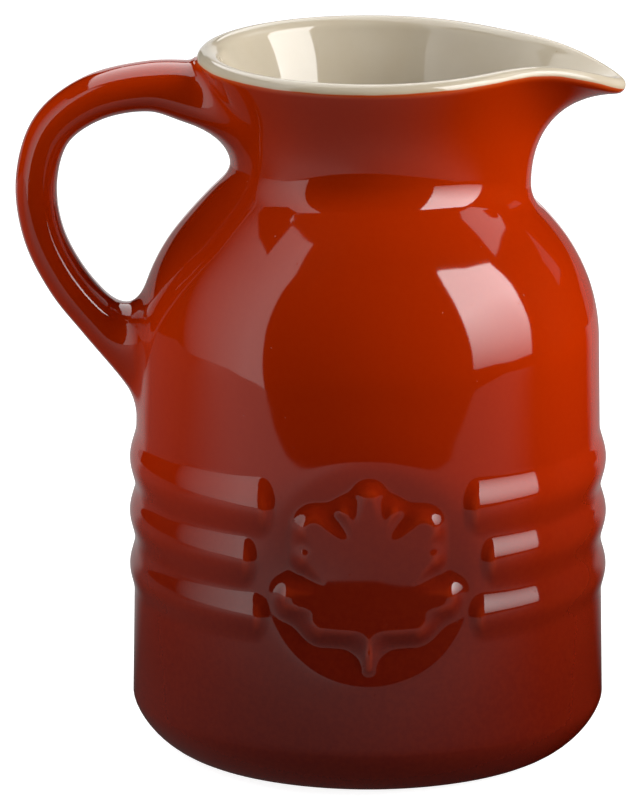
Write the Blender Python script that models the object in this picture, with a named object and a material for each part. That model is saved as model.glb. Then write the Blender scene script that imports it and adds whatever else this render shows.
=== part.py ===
"""Stoneware syrup jug with a pouring lip, three ribs, a leaf medallion and a loop handle.

The jug is one piece of glazed ceramic. It stands on the plane z = 0 with its body's axis on
the Z axis, the pouring lip towards +X, the handle towards -X and the medallion towards -Y.
Sizes below are in millimetres and degrees; the mesh is made in metres.
"""
import math

import bmesh
import bpy
import numpy as np

MM = 0.001

# Body, outside
HEIGHT = 140.0
WALL_RADIUS_LOW = 46.85
WALL_RADIUS_HIGH = 45.6
SHOULDER_START = 81.6
SHOULDER_ARC_RADIUS = 35.5
SHOULDER_SLOPE = 42.0
NECK_RADIUS = 26.9
NECK_ARC_RADIUS = 7.8
FOOT_ROUND_WIDTH = 9.4
FOOT_ROUND_HEIGHT = 9.8
FOOT_ROUND_POWER = 1.5

# Rim and wall
RIM_RADIUS = 33.6
RIM_THICKNESS = 5.3
RIM_ROUNDING = 2.2
RIM_CURVE_RISE = 7.5
RIM_CURVE_REACH = (2.4, 5.4)
RIM_LEAN = 0.5
WALL_THICKNESS = 4.7
FLOOR_THICKNESS = 6.0
FLOOR_CORNER_RADIUS = 12.0

# Pouring lip: where it reaches, how far it droops and how wide it spreads round the rim
LIP_REACH = 48.9
LIP_DROOP = 7.1
LIP_DROOP_POWER = 1.6
LIP_THICKNESS = 3.3
LIP_SPREAD = 19.5
LIP_SPREAD_POWER = 1.8
LIP_TIP_ROUNDING = 1.5
LIP_NECK_SWELL = 5.1
LIP_NECK_SPREAD = 30.0
LIP_CURVE_RISE = 10.1
LIP_CURVE_REACH = (11.6, 0.3)

# Ribs round the body, which stop short of the medallion
RIB_TOP = 58.0
RIB_PITCH = 10.6
RIB_COUNT = 3
RIB_HEIGHT = 1.25
RIB_HALF_WIDTH = 7.0
RIB_END_LENGTH = 3.2

# Medallion: a shallow round dish in the wall with a leaf standing in it
MEDALLION_HEIGHT = 45.7
MEDALLION_RADIUS = 23.0
MEDALLION_ANGLE = -90.0
DISH_DEPTH = 2.6
LEAF_RELIEF = 1.7
LEAF_EDGE = 2.4
LEAF_NOTCH_ROUNDING = 1.6

# The leaf's lobes: root x, root y, tip x, tip y, root half-width, tip half-width.
# Lobes off the centre line are mirrored.
LEAF_LOBES = (
    (0.0, -5.0, 0.0, 15.2, 6.0, 3.4),
    (0.0, 7.0, 4.6, 12.0, 2.6, 2.2),
    (0.0, -5.0, 11.4, 8.8, 5.5, 4.2),
    (6.0, 1.0, 13.4, 3.2, 3.6, 2.6),
    (0.0, -7.0, 17.2, -5.4, 6.0, 3.8),
    (2.0, -8.5, 11.8, -10.4, 5.0, 3.6),
    (0.0, -12.0, 0.0, -19.2, 1.6, 1.3),
)

# The handle's stations: x, z, thickness in the jug's plane of symmetry, width across it
HANDLE_STATIONS = (
    (-24.0, 129.4, 14.2, 22.0),
    (-33.5, 131.3, 12.3, 17.0),
    (-43.0, 132.6, 9.6, 14.0),
    (-53.8, 130.3, 8.8, 13.2),
    (-62.1, 124.0, 8.3, 13.0),
    (-65.2, 114.0, 8.2, 13.0),
    (-64.0, 103.4, 8.1, 13.0),
    (-59.4, 93.8, 8.2, 13.2),
    (-52.8, 85.8, 8.9, 14.0),
    (-45.2, 79.0, 12.2, 16.5),
    (-38.0, 73.5, 18.0, 19.0),
)
HANDLE_SECTION_POWER = 2.3

# Fineness of the surfaces before they are thinned, and the facets left at the end
COLUMNS = 216
FOOT_ROWS = 11
WALL_ROWS = 68
SHOULDER_ROWS = 13
CONE_ROWS = 5
NECK_ARC_ROWS = 7
THROAT_ROWS = 18
RIM_ROWS = 7
INNER_WALL_ROWS = 8
FLOOR_CORNER_ROWS = 9
HANDLE_RINGS = 56
HANDLE_SIDES = 28
HANDLE_SPAN_STEPS = 24
SLOPE_STEP = 0.002
TRIANGLES = 9600

GLAZE_COLOUR = (0.42, 0.035, 0.008, 1.0)
GLAZE_ROUGHNESS = 0.08


def clear_scene():
    for item in list(bpy.data.objects):
        bpy.data.objects.remove(item, do_unlink=True)


def smooth_step(value):
    """Ease from 0 to 1 as value goes from 0 to 1."""
    clipped = np.clip(value, 0.0, 1.0)
    return clipped * clipped * (3.0 - 2.0 * clipped)


def lip_weight(theta, spread):
    """1 at the tip of the pouring lip, falling to 0 round the rim."""
    angle = np.degrees((theta + math.pi) % (2.0 * math.pi) - math.pi)
    half_power = LIP_SPREAD_POWER / 2.0
    rounded = (angle ** 2 + LIP_TIP_ROUNDING ** 2) ** half_power
    rounded = rounded - LIP_TIP_ROUNDING ** LIP_SPREAD_POWER
    return np.exp(-rounded / spread ** LIP_SPREAD_POWER)


def lobe_distance(x, y, lobe):
    """Distance to a leaf lobe, a bar with round ends of two sizes; negative inside."""
    root_x, root_y, tip_x, tip_y, root_width, tip_width = lobe
    along_x = tip_x - root_x
    along_y = tip_y - root_y
    length_squared = along_x ** 2 + along_y ** 2
    share = ((x - root_x) * along_x + (y - root_y) * along_y) / length_squared
    share = np.clip(share, 0.0, 1.0)
    away = np.hypot(x - root_x - share * along_x, y - root_y - share * along_y)
    return away - (root_width + share * (tip_width - root_width))


def leaf_height(x, y):
    """Height of the leaf above the dish that it stands in."""
    nearest = lobe_distance(np.abs(x), y, LEAF_LOBES[0])
    for lobe in LEAF_LOBES[1:]:
        other = lobe_distance(np.abs(x), y, lobe)
        share = np.clip(0.5 + 0.5 * (other - nearest) / LEAF_NOTCH_ROUNDING, 0.0, 1.0)
        blend = LEAF_NOTCH_ROUNDING * share * (1.0 - share)
        nearest = other + share * (nearest - other) - blend
    inside = np.clip(-nearest / LEAF_EDGE, 0.0, 1.0)
    return LEAF_RELIEF * np.sqrt(1.0 - (1.0 - inside) ** 2)


def relief(theta, z):
    """How far the ribs, the dish and the leaf stand out from the plain wall."""
    turn = theta - math.radians(MEDALLION_ANGLE)
    turn = (turn + math.pi) % (2.0 * math.pi) - math.pi
    across = turn * WALL_RADIUS_HIGH
    up = z - MEDALLION_HEIGHT
    from_centre = np.hypot(across, up)

    ribs = np.zeros(np.shape(from_centre))
    for index in range(RIB_COUNT):
        offset = (z - RIB_TOP + index * RIB_PITCH) / RIB_HALF_WIDTH
        bump = np.cos(0.5 * math.pi * np.clip(offset, -1.0, 1.0)) ** 2
        ribs = ribs + RIB_HEIGHT * bump
    rib_end = (from_centre - MEDALLION_RADIUS) / RIB_END_LENGTH
    ribs = ribs * smooth_step(rib_end)

    dish = DISH_DEPTH * np.clip(1.0 - (from_centre / MEDALLION_RADIUS) ** 2, 0.0, 1.0)
    return ribs - dish + leaf_height(across, up)


def wall_radius(z):
    share = np.clip(z / SHOULDER_START, 0.0, 1.0)
    return WALL_RADIUS_LOW + (WALL_RADIUS_HIGH - WALL_RADIUS_LOW) * share


def foot_rows(count):
    """Rounded edge between the flat base and the wall."""
    angle = np.linspace(0.0, 0.5 * math.pi, count)
    power = 2.0 / FOOT_ROUND_POWER
    inner_radius = wall_radius(FOOT_ROUND_HEIGHT) - FOOT_ROUND_WIDTH
    radius = inner_radius + FOOT_ROUND_WIDTH * np.sin(angle) ** power
    height = FOOT_ROUND_HEIGHT * (1.0 - np.cos(angle) ** power)
    return radius, height


def shoulder_rows(count):
    angle = np.radians(np.linspace(0.0, SHOULDER_SLOPE, count))
    radius = WALL_RADIUS_HIGH - SHOULDER_ARC_RADIUS * (1.0 - np.cos(angle))
    height = SHOULDER_START + SHOULDER_ARC_RADIUS * np.sin(angle)
    return radius, height


def neck_rows(theta, cone_count, arc_count):
    """Straight cone above the shoulder and the hollow arc that turns it upright."""
    slope = math.radians(SHOULDER_SLOPE)
    shoulder_radius, shoulder_height = (rows[-1] for rows in shoulder_rows(2))
    neck = NECK_RADIUS + LIP_NECK_SWELL * lip_weight(theta, LIP_NECK_SPREAD)
    arc_start = neck + NECK_ARC_RADIUS * (1.0 - math.cos(slope))
    start_height = shoulder_height + (shoulder_radius - arc_start) / math.tan(slope)

    share = np.linspace(0.0, 1.0, cone_count, endpoint=False)[:, None]
    cone_radius = shoulder_radius + share * (arc_start - shoulder_radius)
    cone_height = shoulder_height + share * (start_height - shoulder_height)

    angle = slope * (1.0 - np.linspace(0.0, 1.0, arc_count))[:, None]
    arc_radius = neck + NECK_ARC_RADIUS * (1.0 - np.cos(angle))
    arc_height = start_height + NECK_ARC_RADIUS * (math.sin(slope) - np.sin(angle))
    radius = np.vstack([cone_radius[1:], arc_radius])
    height = np.vstack([cone_height[1:], arc_height])
    return radius, height


def edge_rounding(weight):
    """How far the rounded edge stands above the wall's end, round the rim and at the lip."""
    return RIM_ROUNDING + (0.5 * LIP_THICKNESS - RIM_ROUNDING) * weight


def throat_rows(theta, count):
    """Curve that opens from the neck to the rim and runs out into the pouring lip."""
    weight = lip_weight(theta, LIP_SPREAD)
    neck_radius, neck_height = (rows[-1] for rows in neck_rows(theta, 2, 2))
    edge_radius = RIM_RADIUS + (LIP_REACH - RIM_RADIUS) * weight
    edge_height = HEIGHT - edge_rounding(weight) - LIP_DROOP * weight ** LIP_DROOP_POWER
    rise = RIM_CURVE_RISE + (LIP_CURVE_RISE - RIM_CURVE_RISE) * weight
    reach_out = RIM_CURVE_REACH[0] + (LIP_CURVE_REACH[0] - RIM_CURVE_REACH[0]) * weight
    reach_up = RIM_CURVE_REACH[1] + (LIP_CURVE_REACH[1] - RIM_CURVE_REACH[1]) * weight

    t = np.linspace(0.0, 1.0, count + 1)[1:, None]
    start = (1.0 - t) ** 3
    leave = 3.0 * (1.0 - t) ** 2 * t
    arrive = 3.0 * (1.0 - t) * t ** 2
    end = t ** 3
    radius = (start + leave) * neck_radius + arrive * (edge_radius - reach_out) + end * edge_radius
    height = (start * neck_height + leave * (neck_height + rise)
              + arrive * (edge_height - reach_up) + end * edge_height)
    return radius, height


def upper_rows(theta):
    """Outside from the top of the straight wall to the rim, as radius and height."""
    shoulder_radius, shoulder_height = shoulder_rows(SHOULDER_ROWS)
    neck_radius, neck_height = neck_rows(theta, CONE_ROWS, NECK_ARC_ROWS)
    throat_radius, throat_height = throat_rows(theta, THROAT_ROWS)
    ones = np.ones((1, len(theta)))
    radius = np.vstack([shoulder_radius[:, None] * ones, neck_radius, throat_radius])
    height = np.vstack([shoulder_height[:, None] * ones, neck_height, throat_height])
    return radius, height


def to_points(theta, radius, height):
    return np.stack([radius * np.cos(theta), radius * np.sin(theta), height], axis=-1)


def level_ring(theta, radius, height):
    return to_points(theta, radius, np.full(len(theta), height))


def inward_normals(theta):
    """Unit normals of the upper outside, turned towards the inside of the jug."""
    before = to_points(theta - SLOPE_STEP, *upper_rows(theta - SLOPE_STEP))
    after = to_points(theta + SLOPE_STEP, *upper_rows(theta + SLOPE_STEP))
    upwards = np.gradient(to_points(theta, *upper_rows(theta)), axis=0)
    normal = np.cross(upwards, after - before)
    return normal / np.linalg.norm(normal, axis=-1, keepdims=True)


def upper_surfaces(theta):
    """Points of the outside and of the inside above the straight wall, row by row."""
    outside = to_points(theta, *upper_rows(theta))
    rows = len(outside)
    lip = lip_weight(theta, LIP_SPREAD)
    edge = RIM_THICKNESS + (LIP_THICKNESS - RIM_THICKNESS) * lip
    share = smooth_step(np.linspace(0.0, 1.0, rows) ** 2)[:, None]
    thickness = WALL_THICKNESS + share * (edge - WALL_THICKNESS)
    inside = outside + thickness[..., None] * inward_normals(theta)
    above = inside[-1, :, 2] - outside[-1, :, 2]
    inside[..., 2] -= share * (1.0 - lip) * above
    return outside, inside


def rim_rows(theta, outside, inside, count):
    """Half-round edge from the last row of the outside to that of the inside.

    It points up round the rim and outwards along the pouring lip.
    """
    middle = 0.5 * (outside[-1] + inside[-1])
    half = outside[-1] - middle
    along = outside[-1] - outside[-2]
    along = along / np.linalg.norm(along, axis=-1, keepdims=True)
    lip = lip_weight(theta, LIP_SPREAD)[:, None]
    lean = RIM_LEAN + (1.0 - RIM_LEAN) * lip
    bulge = lean * along + (1.0 - lean) * np.array([0.0, 0.0, 1.0])
    bulge = edge_rounding(lip) * bulge / np.linalg.norm(bulge, axis=-1, keepdims=True)
    rows = []
    for angle in np.linspace(0.0, math.pi, count + 2)[1:-1]:
        rows.append(middle + math.cos(angle) * half + math.sin(angle) * bulge)
    return rows


def outside_wall_rows(theta):
    """Foot and ribbed wall, from the base up to just under the shoulder."""
    rows = []
    for radius, height in zip(*foot_rows(FOOT_ROWS)):
        rows.append(level_ring(theta, radius, height))
    for height in np.linspace(FOOT_ROUND_HEIGHT, SHOULDER_START, WALL_ROWS)[1:-1]:
        rows.append(level_ring(theta, wall_radius(height) + relief(theta, height), height))
    return rows


def inside_wall_rows(theta):
    """Inside of the straight wall and the rounded corner down to the floor."""
    rows = []
    corner_top = FLOOR_THICKNESS + FLOOR_CORNER_RADIUS
    for height in np.linspace(SHOULDER_START, corner_top, INNER_WALL_ROWS)[1:]:
        rows.append(level_ring(theta, wall_radius(height) - WALL_THICKNESS, height))
    corner_centre = wall_radius(corner_top) - WALL_THICKNESS - FLOOR_CORNER_RADIUS
    for angle in np.linspace(0.0, 0.5 * math.pi, FLOOR_CORNER_ROWS)[1:]:
        radius = corner_centre + FLOOR_CORNER_RADIUS * math.cos(angle)
        height = corner_top - FLOOR_CORNER_RADIUS * math.sin(angle)
        rows.append(level_ring(theta, radius, height))
    return rows


def skin(name, rows):
    """Closed body through rings of points, with flat ends."""
    bm = bmesh.new()
    loops = [[bm.verts.new(point * MM) for point in row] for row in rows]
    for lower, upper in zip(loops, loops[1:]):
        for index in range(len(lower)):
            following = (index + 1) % len(lower)
            bm.faces.new((lower[index], lower[following], upper[following], upper[index]))
    bm.faces.new(list(reversed(loops[0])))
    bm.faces.new(loops[-1])
    mesh = bpy.data.meshes.new(name)
    bm.to_mesh(mesh)
    bm.free()
    item = bpy.data.objects.new(name, mesh)
    bpy.context.collection.objects.link(item)
    return item


def make_shell():
    """Hollow body with its foot, ribs, medallion, rim and pouring lip."""
    theta = np.linspace(0.0, 2.0 * math.pi, COLUMNS, endpoint=False)
    outside, inside = upper_surfaces(theta)
    rows = outside_wall_rows(theta)
    rows.extend(outside)
    rows.extend(rim_rows(theta, outside, inside, RIM_ROWS))
    rows.extend(inside[::-1])
    rows.extend(inside_wall_rows(theta))
    return skin("jug", rows)


def make_core():
    """Space inside the middle of the wall, which trims the ends of the handle."""
    theta = np.linspace(0.0, 2.0 * math.pi, COLUMNS // 2, endpoint=False)
    outside, inside = upper_surfaces(theta)
    middle = 0.5 * (outside + inside)
    low = level_ring(theta, WALL_RADIUS_HIGH - 0.5 * WALL_THICKNESS, MEDALLION_HEIGHT)
    high = middle[-1] + np.array([0.0, 0.0, HEIGHT])
    return skin("core", [low, *middle, high])


def curve_through(stations, count):
    """Evenly spaced points on a smooth curve through the stations, each row one station."""
    knots = np.array(stations)
    padded = np.vstack([2.0 * knots[0] - knots[1], knots, 2.0 * knots[-1] - knots[-2]])
    points = []
    for index in range(1, len(padded) - 2):
        before, start, end, after = padded[index - 1:index + 3]
        for t in np.linspace(0.0, 1.0, HANDLE_SPAN_STEPS, endpoint=False):
            points.append(0.5 * (2.0 * start + (end - before) * t
                                 + (2.0 * before - 5.0 * start + 4.0 * end - after) * t ** 2
                                 + (3.0 * start - before - 3.0 * end + after) * t ** 3))
    points.append(knots[-1])
    points = np.array(points)
    lengths = np.linalg.norm(np.diff(points[:, :2], axis=0), axis=1)
    travelled = np.concatenate([[0.0], np.cumsum(lengths)])
    wanted = np.linspace(0.0, travelled[-1], count)
    return np.stack([np.interp(wanted, travelled, column) for column in points.T], axis=1)


def make_handle():
    """Oval bar swept along the handle's curve, flared where it joins the body."""
    path = curve_through(HANDLE_STATIONS, HANDLE_RINGS)
    direction = np.gradient(path[:, :2], axis=0)
    direction = direction / np.linalg.norm(direction, axis=1, keepdims=True)
    angle = np.linspace(0.0, 2.0 * math.pi, HANDLE_SIDES, endpoint=False)
    power = 2.0 / HANDLE_SECTION_POWER
    across = np.sign(np.cos(angle)) * np.abs(np.cos(angle)) ** power
    outwards = np.sign(np.sin(angle)) * np.abs(np.sin(angle)) ** power
    rows = []
    for (x, z, thickness, width), (run_x, run_z) in zip(path, direction):
        offset = 0.5 * thickness * outwards
        row = np.stack([x + offset * run_z, 0.5 * width * across, z - offset * run_x], axis=1)
        rows.append(row)
    return skin("handle", rows)


def apply_boolean(item, other, operation):
    modifier = item.modifiers.new(operation.lower(), "BOOLEAN")
    modifier.operation = operation
    modifier.object = other
    graph = bpy.context.evaluated_depsgraph_get()
    mesh = bpy.data.meshes.new_from_object(item.evaluated_get(graph))
    item.modifiers.remove(modifier)
    item.data = mesh
    bpy.data.objects.remove(other, do_unlink=True)


def thin_facets(item, triangles):
    """Keep the facets where the surface curves and drop them where it is plain."""
    mesh = item.data
    present = sum(len(face.vertices) - 2 for face in mesh.polygons)
    modifier = item.modifiers.new("fewer facets", "DECIMATE")
    modifier.ratio = triangles / present


def make_glaze():
    material = bpy.data.materials.new("glaze")
    material.use_nodes = True
    shader = material.node_tree.nodes["Principled BSDF"]
    shader.inputs["Base Color"].default_value = GLAZE_COLOUR
    shader.inputs["Roughness"].default_value = GLAZE_ROUGHNESS
    shader.inputs["Metallic"].default_value = 0.0
    return material


def build():
    clear_scene()
    jug = make_shell()
    handle = make_handle()
    apply_boolean(handle, make_core(), "DIFFERENCE")
    apply_boolean(jug, handle, "UNION")
    thin_facets(jug, TRIANGLES)
    jug.data.shade_smooth()
    jug.data.materials.clear()
    jug.data.materials.append(make_glaze())
    return jug


build()
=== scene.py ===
"""Looks of the stoneware syrup jug: the fine glazed mesh, its glazes, and the studio.

The jug stands on the plane z = 0 with the pouring lip towards +X, the handle towards -X and the
leaf medallion towards -Y. Sizes of the jug are in millimetres and degrees; the scene is in metres.
"""
import math

import bmesh
import bpy
import numpy as np
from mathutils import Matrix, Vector


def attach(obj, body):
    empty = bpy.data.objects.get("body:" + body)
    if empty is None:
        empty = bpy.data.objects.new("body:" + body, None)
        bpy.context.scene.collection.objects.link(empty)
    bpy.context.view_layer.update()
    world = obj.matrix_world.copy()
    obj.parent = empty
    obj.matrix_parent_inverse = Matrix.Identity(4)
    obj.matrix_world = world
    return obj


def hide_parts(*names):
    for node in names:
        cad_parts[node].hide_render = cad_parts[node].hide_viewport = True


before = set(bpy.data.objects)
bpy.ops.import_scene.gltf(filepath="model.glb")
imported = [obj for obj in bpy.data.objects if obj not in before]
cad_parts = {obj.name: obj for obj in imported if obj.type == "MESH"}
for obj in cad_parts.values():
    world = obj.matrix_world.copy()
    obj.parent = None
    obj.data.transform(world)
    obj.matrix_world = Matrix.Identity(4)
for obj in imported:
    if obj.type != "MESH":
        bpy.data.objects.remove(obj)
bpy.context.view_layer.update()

MM = 0.001

# Body, outside
HEIGHT = 140.0
WALL_RADIUS_LOW = 46.85
WALL_RADIUS_HIGH = 45.6
SHOULDER_START = 81.6
SHOULDER_ARC_RADIUS = 35.5
SHOULDER_SLOPE = 38.0
NECK_SLOPE = 46.0
NECK_RADIUS = 26.9
NECK_ARC_RADIUS = 7.8
FOOT_ROUND_WIDTH = 9.4
FOOT_ROUND_HEIGHT = 9.8
FOOT_ROUND_POWER = 1.5

# Bare ring that the jug stands on and the shallow hollow inside it
STANDING_RING_WIDTH = 3.5
BASE_HOLLOW_DEPTH = 1.0
BASE_HOLLOW_EDGE = 2.4

# Rim and wall
RIM_RADIUS = 33.6
RIM_THICKNESS = 5.3
RIM_ROUNDING = 2.2
RIM_CURVE_RISE = 7.5
RIM_CURVE_REACH = (2.4, 5.4)
RIM_LEAN = 0.5
WALL_THICKNESS = 4.7
FLOOR_THICKNESS = 6.0
FLOOR_CORNER_RADIUS = 12.0

# Pouring lip: where it reaches, how far it droops and how wide it spreads round the rim
LIP_REACH = 48.9
LIP_DROOP = 7.1
LIP_DROOP_POWER = 1.6
LIP_THICKNESS = 3.3
LIP_SPREAD = 19.5
LIP_SPREAD_POWER = 1.8
LIP_TIP_ROUNDING = 1.5
LIP_NECK_SWELL = 5.1
LIP_NECK_SPREAD = 30.0
LIP_CURVE_RISE = 10.1
LIP_CURVE_REACH = (11.6, 0.3)

# Ribs round the body, which stop short of the medallion: height above the table, how far
# each stands out, its half-width and how far from the medallion's middle it ends
RIBS = (
    (57.9, 1.2, 6.5, 18.4),
    (47.0, 1.1, 5.9, 22.0),
    (36.0, 0.95, 5.4, 19.6),
)
RIB_END_LENGTH = 2.8
RIB_END_ROUNDING = 1.6

# Medallion: a shallow round dish in the wall with a leaf standing in it
MEDALLION_HEIGHT = 45.7
MEDALLION_RADIUS = 21.4
MEDALLION_ANGLE = math.radians(-90.0)
DISH_DEPTH = 2.6
DISH_EDGE_SOFTNESS = 0.14
LEAF_RELIEF = 1.6
LEAF_EDGE = 3.0
LEAF_SPILL = 1.4
LEAF_NOTCH_ROUNDING = 3.2
LEAF_FADE = (22.3, 15.5)

# The leaf's lobes: root x, root y, tip x, tip y, root half-width, tip half-width.
# Lobes off the centre line are mirrored.
LEAF_LOBES = (
    (0.0, 0.0, 0.0, 15.6, 7.2, 3.2),
    (1.5, 6.0, 4.6, 12.4, 3.0, 2.4),
    (3.0, 0.0, 10.6, 8.6, 7.0, 4.6),
    (5.0, -1.0, 11.6, 3.0, 6.0, 3.5),
    (2.0, -6.0, 15.4, -5.4, 6.0, 3.8),
    (0.0, -8.0, 9.0, -9.6, 6.0, 4.0),
    (0.0, -12.0, 0.0, -18.6, 2.4, 1.3),
)

# The handle's stations: x, z, thickness in the jug's plane of symmetry, width across it
HANDLE_STATIONS = (
    (-24.0, 129.4, 14.2, 22.0),
    (-33.5, 131.3, 12.3, 17.0),
    (-43.0, 132.6, 9.6, 14.0),
    (-53.8, 130.3, 8.8, 13.2),
    (-62.1, 124.0, 8.3, 13.0),
    (-65.2, 114.0, 8.2, 13.0),
    (-64.0, 103.4, 8.1, 13.0),
    (-59.4, 93.8, 8.2, 13.2),
    (-52.8, 85.8, 8.9, 14.0),
    (-45.2, 79.0, 12.2, 16.5),
    (-38.0, 73.5, 18.0, 19.0),
)
HANDLE_SECTION_POWER = 2.3
HANDLE_PATH_STEPS = 24
HANDLE_PATH_POINTS = 312

# The fillets that join the handle to the body: how wide they are, how far they reach and
# how often the mesh is evened out there
JOINT_BLEND = 7.5
JOINT_BLEND_AT_RIM = 2.5
JOINT_BLEND_AT_FOOT = 2.5
JOINT_BLEND_LOW = 127.0
JOINT_BLEND_HIGH = 136.0
JOINT_BLEND_FOOT = (84.0, 75.0)
JOINT_OPENING = 0.6
JOINT_CLEARANCE = 2.6
JOINT_REACH = 10.0
JOINT_FADE = 3.0
JOINT_EASINGS = 40
JOINT_RIM_CLEARANCE = 1.2
JOINT_SPLIT = 105.0
JOINT_RINGS = 6
LANDING_GAP = 0.9
LANDING_SHARE = 0.7
LANDING_STEPS = 30
MERGE_DISTANCE = 0.005
FIELD_LOW = (20.0, 50.0)
FIELD_HIGH = (76.0, 146.0)
FIELD_STEP = 0.3
FIELD_BATCH = 4000
MIN_STEEPNESS = 0.2
SMALLEST = 1e-6

# Where the cream glaze ends, measured from the top of the outside round the rim
CREAM_EDGE = 0.5
CREAM_EDGE_AT_LIP = 1.8

# How relief edges are found for the thin and the pooled glaze
BULGE_REACH = 1.1
BULGE_SAMPLES = 12

# Fineness of the mesh: the arcs that the outline is turned through, in degrees, with the
# columns of each, from left of the medallion round by the lip and the handle
ARCS = ((68.0, 132), (112.0, 84), (180.0, 108))
ARC_START = -124.0
BASE_FLAT_ROWS = 4
BASE_EDGE_ROWS = 5
INNER_FLOOR_ROWS = 4
FOOT_ROWS = 14
WALL_STEP_FINE = 0.48
WALL_STEP_PLAIN = 1.1
SHOULDER_ROWS = 22
CONE_ROWS = 9
NECK_ARC_ROWS = 9
THROAT_ROWS = 22
RIM_ROWS = 9
INNER_WALL_ROWS = 7
FLOOR_CORNER_ROWS = 10
HANDLE_RINGS = 104
HANDLE_SIDES = 56
SLOPE_STEP = 0.002

# Colours of the glaze, as a screen shows them: the red by height above the table
OMBRE = (
    (0.0, (80, 14, 6)),
    (20.0, (90, 17, 6)),
    (38.0, (104, 21, 6)),
    (50.0, (124, 26, 5)),
    (62.0, (146, 31, 2)),
    (85.0, (159, 36, 0)),
    (105.0, (150, 34, 0)),
    (125.0, (163, 39, 0)),
)
OMBRE_DRIFT = 6.0
OMBRE_FINE_DRIFT = 0.8
# Painted shade round the medallion: how far, in millimetres, the red is moved down the ombre
# there, and the distances from the medallion's middle at which this painted shade is gone and full
MEDALLION_PAINTED_SHADE = 8.5
MEDALLION_PAINTED_SHADE_SPREAD = (32.0, 18.0)
THIN_FROM = 0.01
THIN_FULL = 0.16
THIN_SHARE = 0.15
THIN_RED = (205, 62, 14)
POOLED_FROM = 0.01
POOLED_FULL = 0.16
POOLED_SHARE = 0.2
POOLED_RED = (48, 8, 6)
BREAK_WIDTH = 1.2
BREAK_SHARE = 0.5
BREAK_RED = (196, 84, 30)
MOTTLE_SHARE = 0.02
MOTTLE_RED = (225, 90, 30)
CREAM_LIGHT = (190, 180, 161)
CREAM_DEEP = (181, 167, 144)
CREAM_STAIN = (196, 160, 116)
CREAM_STAIN_WIDTH = 0.9
CREAM_STAIN_SHARE = 0.4
CREAM_EDGE_WAVE = 0.5
CREAM_EDGE_FINE_WAVE = 0.25
CREAM_EDGE_BLUR = 0.12
SPECK_SCALE = 160.0
SPECK_SIZE = 0.05
SPECK_SHARE = 0.35
SPECK_BROWN = (150, 116, 80)
CLAY_LIGHT = (206, 184, 152)
CLAY_DARK = (178, 152, 118)
CLAY_GRAIN_HEIGHT = 0.00008
CLAY_ROUGHNESS = 0.8
BASE_EDGE_WAVE = 1.4
BASE_EDGE_BLUR = 0.25

# Scales of the glaze's clouds and grain, the smaller the broader
BROAD_SCALE = 22.0
FLOW_SCALE = 60.0
MIDDLE_SCALE = 120.0
FINE_SCALE = 900.0
CLAY_SCALE = 2600.0
MOTTLE_RANGE = (0.3, 0.7)

# Gloss of the glaze and the small unevenness of its surface, in metres
GLAZE_IOR = 1.52
GLAZE_ROUGHNESS = 0.05
GLAZE_ROUGHNESS_SPREAD = 0.02
RIPPLE_SCALE = 90.0
RIPPLE_HEIGHT = 0.00008
PINHOLE_SCALE = 380.0
PINHOLE_SIZE = 0.08
PINHOLE_DEPTH = 0.00002

# Studio floor
FLOOR_SIZE = 6.0
FLOOR_GRAIN_SCALE = 40.0
FLOOR_LIGHT = (170, 170, 170)
FLOOR_SHADE = (166, 166, 167)
FLOOR_ROUGHNESS = 0.6
FLOOR_GLOW = 0.9
WORLD_COLOUR = (255, 255, 255)
WORLD_STRENGTH = 0.18

# Soft boxes and cards that light the jug and mirror in it: a name, a brightness, the corners
# and a fade. A corner is degrees round from the front towards the lip and degrees up, as the
# jug sees it. A fade is a direction and how far along it the glow is full and gone.
CARD_DISTANCE = 1.1
CARD_VIEWPOINT = (0.0, 0.0, 0.08)
CARDS = (
    ("right_box", 9.0, ((52.0, -2.0), (51.5, 30.0), (53.0, 48.0), (55.7, 54.8), (58.0, 54.8),
                        (76.0, 49.3), (94.0, 42.5), (92.5, 30.0), (89.0, 13.0), (86.5, -2.0)),
     ((0.0, 0.0, 1.0), 0.58, -0.08)),
    ("right_patch", 1.5, ((100.5, 41.0), (122.0, 34.5), (130.0, 33.5), (130.0, 44.0),
                          (101.5, 53.0)), None),
    ("right_streak", 0.24, ((131.6, 12.0), (133.0, 25.0), (124.0, 22.0), (122.0, 12.0)), None),
    ("left_box", 1.65, ((-118.0, 26.0), (-118.0, 42.7), (-100.0, 46.5), (-85.5, 49.3),
                       (-85.5, 58.5), (-73.0, 61.0), (-59.3, 62.7), (-56.7, 43.0),
                       (-55.0, 20.0), (-52.3, 0.0), (-51.3, -13.0), (-72.8, -7.0),
                       (-90.0, -5.0), (-107.0, -3.0)), ((0.0, 1.0, -0.25), -0.5, 0.23)),
    ("backdrop", 0.85, ((-167.0, 18.0), (-167.0, -32.0), (-180.0, -32.0), (167.0, -32.0),
                       (167.0, 18.0), (180.0, 18.0)), None),
    ("backdrop_right", 0.18, ((166.0, 12.0), (166.0, -22.0), (142.0, -22.0), (142.0, 0.0)),
     None),
    ("backdrop_left", 0.24, ((-166.0, 6.0), (-166.0, -32.0), (-140.0, -32.0), (-140.0, -3.0)),
     None),
)

# A soft box behind and above, which mirrors in the glaze but doesn't light it
BACK_BOX = ("back_box", 2.4, ((-88.0, 58.0), (-140.0, 45.0), (-160.0, 28.0), (-170.0, 22.0),
                              (172.0, 22.0), (160.0, 40.0), (160.0, 76.0), (-80.0, 80.0)), None)

# Lamps that light the jug but don't mirror in the glaze: a name, degrees round and up,
# width, height and power
LAMP_DISTANCE = 1.0
LAMPS = (
    ("right_side_lamp", (114.0, 7.0), 0.5, 0.7, 7.5),
    ("left_side_lamp", (-108.0, 15.0), 0.5, 0.7, 6.0),
    ("high_left_lamp", (-60.0, 60.0), 0.5, 0.5, 2.0),
)

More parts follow.
